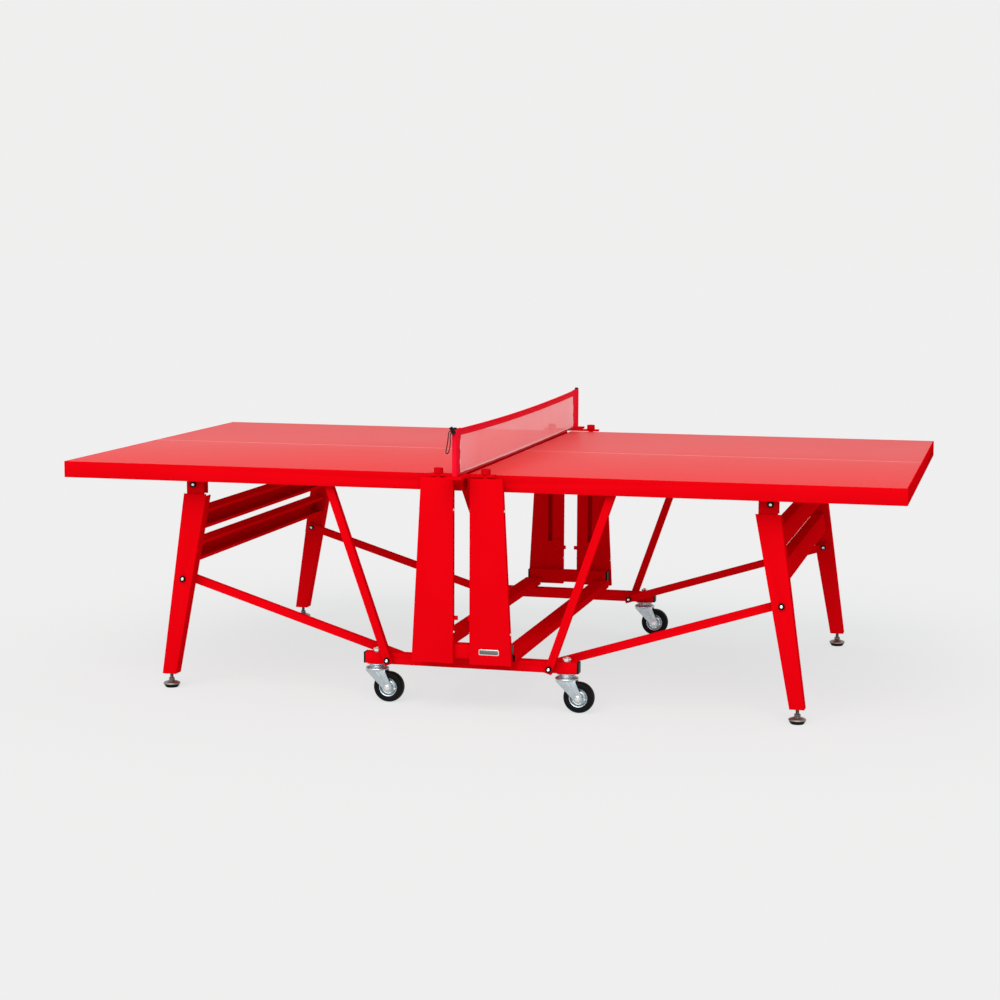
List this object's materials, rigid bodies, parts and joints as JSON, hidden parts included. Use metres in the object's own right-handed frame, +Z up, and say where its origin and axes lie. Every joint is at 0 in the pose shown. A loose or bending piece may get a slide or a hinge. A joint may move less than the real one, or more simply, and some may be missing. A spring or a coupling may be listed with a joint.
{
  "type": "folding ping pong table",
  "caption": "Red folding ping pong table: two halves that fold up on slotted columns, splayed legs, wheeled base, net with posts and clamps.",
  "frame": {"origin": "on the floor, under the middle of the net", "axes": "+Z up, +X along the table, +Y across it, away from the near side"},
  "size_m": [2.74, 1.83, 0.9238],
  "materials": {
    "red_top": "satin red coated board",
    "red_frame": "semi-gloss red powder coat",
    "black_plastic": "moulded black plastic",
    "steel": "bright zinc-plated steel",
    "badge_metal": "brushed plate",
    "net_fabric": "fine translucent mesh",
    "net_band": "woven red tape",
    "cord_black": "braided black cord",
    "tyre": "black rubber tyre",
    "knob_red": "red moulded knob"
  },
  "bodies": {
    "carriage": {"column_near_left": "red_frame", "column_near_right": "red_frame", "column_far_left": "red_frame", "column_far_right": "red_frame", "slot_plates": "red_frame", "column_screws": "steel", "caster_rails": "red_frame", "cross_beams": "red_frame", "column_ties": "red_frame", "tube_end_caps": "black_plastic", "base_bolts": "steel", "blank_badge": "badge_metal"},
    "net_set": {"net_brackets": "red_frame", "net_posts": "red_frame", "net_mesh": "net_fabric", "net_binding": "net_band", "cord_lock": "black_plastic", "net_cord": "cord_black"},
    "knob_near_left": {"net_knob_near_left": "knob_red"},
    "caster_near_left": {"caster_fork_near_left": "steel"},
    "wheel_near_left": {"caster_hub_near_left": "steel", "caster_tyre_near_left": "tyre"},
    "foot_near_left": {"foot_near_left": "steel"},
    "knob_near_right": {"net_knob_near_right": "knob_red"},
    "caster_near_right": {"caster_fork_near_right": "steel"},
    "wheel_near_right": {"caster_hub_near_right": "steel", "caster_tyre_near_right": "tyre"},
    "foot_near_right": {"foot_near_right": "steel"},
    "knob_far_left": {"net_knob_far_left": "knob_red"},
    "caster_far_left": {"caster_fork_far_left": "steel"},
    "wheel_far_left": {"caster_hub_far_left": "steel", "caster_tyre_far_left": "tyre"},
    "foot_far_left": {"foot_far_left": "steel"},
    "knob_far_right": {"net_knob_far_right": "knob_red"},
    "caster_far_right": {"caster_fork_far_right": "steel"},
    "wheel_far_right": {"caster_hub_far_right": "steel", "caster_tyre_far_right": "tyre"},
    "foot_far_right": {"foot_far_right": "steel"},
    "slot_pins_left": {"slot_pins_left": "steel"},
    "top_left": {"panel_left": "red_top", "apron_left": "red_frame", "hinge_brackets_left": "red_frame", "top_bolts_left": "steel"},
    "legs_left": {"leg_near_left": "red_frame", "leg_far_left": "red_frame", "crossbars_left": "red_frame", "leg_bolts_left": "steel"},
    "struts_left": {"struts_left": "red_frame"},
    "stays_left": {"stays_left": "red_frame"},
    "slot_pins_right": {"slot_pins_right": "steel"},
    "top_right": {"panel_right": "red_top", "apron_right": "red_frame", "hinge_brackets_right": "red_frame", "top_bolts_right": "steel"},
    "legs_right": {"leg_near_right": "red_frame", "leg_far_right": "red_frame", "crossbars_right": "red_frame", "leg_bolts_right": "steel"},
    "struts_right": {"struts_right": "red_frame"},
    "stays_right": {"stays_right": "red_frame"}
  },
  "joints": [
    {"name": "net_lift", "type": "slide", "parent": "carriage", "child": "net_set", "axis": [0, 0, 1], "range_m": [0, 0.3]},
    {"name": "knob_turn_near_left", "type": "hinge", "parent": "net_set", "child": "knob_near_left", "pos_m": [-0.0765, -0.8015, 0.765], "axis": [0, 0, 1], "continuous": true},
    {"name": "caster_swivel_near_left", "type": "hinge", "parent": "carriage", "child": "caster_near_left", "pos_m": [-0.315, -0.6866, 0.113], "axis": [0, 0, 1], "continuous": true},
    {"name": "wheel_spin_near_left", "type": "hinge", "parent": "caster_near_left", "child": "wheel_near_left", "pos_m": [-0.275, -0.6866, 0.05], "axis": [0, 1, 0], "continuous": true},
    {"name": "knob_turn_near_right", "type": "hinge", "parent": "net_set", "child": "knob_near_right", "pos_m": [0.0765, -0.8015, 0.765], "axis": [0, 0, 1], "continuous": true},
    {"name": "caster_swivel_near_right", "type": "hinge", "parent": "carriage", "child": "caster_near_right", "pos_m": [0.315, -0.6866, 0.113], "axis": [0, 0, 1], "continuous": true},
    {"name": "wheel_spin_near_right", "type": "hinge", "parent": "caster_near_right", "child": "wheel_near_right", "pos_m": [0.355, -0.6866, 0.05], "axis": [0, 1, 0], "continuous": true},
    {"name": "knob_turn_far_left", "type": "hinge", "parent": "net_set", "child": "knob_far_left", "pos_m": [-0.0765, 0.8015, 0.765], "axis": [0, 0, 1], "continuous": true},
    {"name": "caster_swivel_far_left", "type": "hinge", "parent": "carriage", "child": "caster_far_left", "pos_m": [-0.315, 0.6866, 0.113], "axis": [0, 0, 1], "continuous": true},
    {"name": "wheel_spin_far_left", "type": "hinge", "parent": "caster_far_left", "child": "wheel_far_left", "pos_m": [-0.275, 0.6866, 0.05], "axis": [0, 1, 0], "continuous": true},
    {"name": "knob_turn_far_right", "type": "hinge", "parent": "net_set", "child": "knob_far_right", "pos_m": [0.0765, 0.8015, 0.765], "axis": [0, 0, 1], "continuous": true},
    {"name": "caster_swivel_far_right", "type": "hinge", "parent": "carriage", "child": "caster_far_right", "pos_m": [0.315, 0.6866, 0.113], "axis": [0, 0, 1], "continuous": true},
    {"name": "wheel_spin_far_right", "type": "hinge", "parent": "caster_far_right", "child": "wheel_far_right", "pos_m": [0.355, 0.6866, 0.05], "axis": [0, 1, 0], "continuous": true},
    {"name": "slot_slide_left", "type": "slide", "parent": "carriage", "child": "slot_pins_left", "axis": [0, 0, -1], "range_m": [0, 0.3944]},
    {"name": "fold_left", "type": "hinge", "parent": "slot_pins_left", "child": "top_left", "pos_m": [-0.078, 0, 0.733], "axis": [0, 1, 0], "range_deg": [0, 90]},
    {"name": "leg_fold_left", "type": "hinge", "parent": "top_left", "child": "legs_left", "pos_m": [-0.95, 0, 0.687], "axis": [0, 1, 0], "range_deg": [-85.78, 0]},
    {"name": "strut_swing_left", "type": "hinge", "parent": "top_left", "child": "struts_left", "pos_m": [-0.467, 0, 0.72], "axis": [0, 1, 0], "range_deg": [-54.07, 0]},
    {"name": "stay_swing_left", "type": "hinge", "parent": "carriage", "child": "stays_left", "pos_m": [-0.267, 0, 0.145], "axis": [0, 1, 0], "range_deg": [0, 78.7]},
    {"name": "slot_slide_right", "type": "slide", "parent": "carriage", "child": "slot_pins_right", "axis": [0, 0, -1], "range_m": [0, 0.3944]},
    {"name": "fold_right", "type": "hinge", "parent": "slot_pins_right", "child": "top_right", "pos_m": [0.078, 0, 0.733], "axis": [0, -1, 0], "range_deg": [0, 90]},
    {"name": "leg_fold_right", "type": "hinge", "parent": "top_right", "child": "legs_right", "pos_m": [0.95, 0, 0.687], "axis": [0, -1, 0], "range_deg": [-85.78, 0]},
    {"name": "strut_swing_right", "type": "hinge", "parent": "top_right", "child": "struts_right", "pos_m": [0.467, 0, 0.72], "axis": [0, -1, 0], "range_deg": [-54.07, 0]},
    {"name": "stay_swing_right", "type": "hinge", "parent": "carriage", "child": "stays_right", "pos_m": [0.267, 0, 0.145], "axis": [0, -1, 0], "range_deg": [0, 78.7]},
    {"name": "foot_screw_near_left", "type": "slide", "parent": "legs_left", "child": "foot_near_left", "axis": [0, 0, -1], "range_m": [-0.006, 0.015]},
    {"name": "foot_screw_near_right", "type": "slide", "parent": "legs_right", "child": "foot_near_right", "axis": [0, 0, -1], "range_m": [-0.006, 0.015]},
    {"name": "foot_screw_far_left", "type": "slide", "parent": "legs_left", "child": "foot_far_left", "axis": [0, 0, -1], "range_m": [-0.006, 0.015]},
    {"name": "foot_screw_far_right", "type": "slide", "parent": "legs_right", "child": "foot_far_right", "axis": [0, 0, -1], "range_m": [-0.006, 0.015]}
  ],
  "couplings": [
    {"joint": "slot_slide_left", "follows": "fold_left", "m_per_rad": 0.25096},
    {"joint": "leg_fold_left", "follows": "fold_left", "ratio": -0.95256},
    {"joint": "strut_swing_left", "follows": "fold_left", "ratio": -0.60019},
    {"joint": "stay_swing_left", "follows": "fold_left", "ratio": 0.8739},
    {"joint": "slot_slide_right", "follows": "fold_right", "m_per_rad": 0.25096},
    {"joint": "leg_fold_right", "follows": "fold_right", "ratio": -0.95256},
    {"joint": "strut_swing_right", "follows": "fold_right", "ratio": -0.60019},
    {"joint": "stay_swing_right", "follows": "fold_right", "ratio": 0.8739}
  ]
}
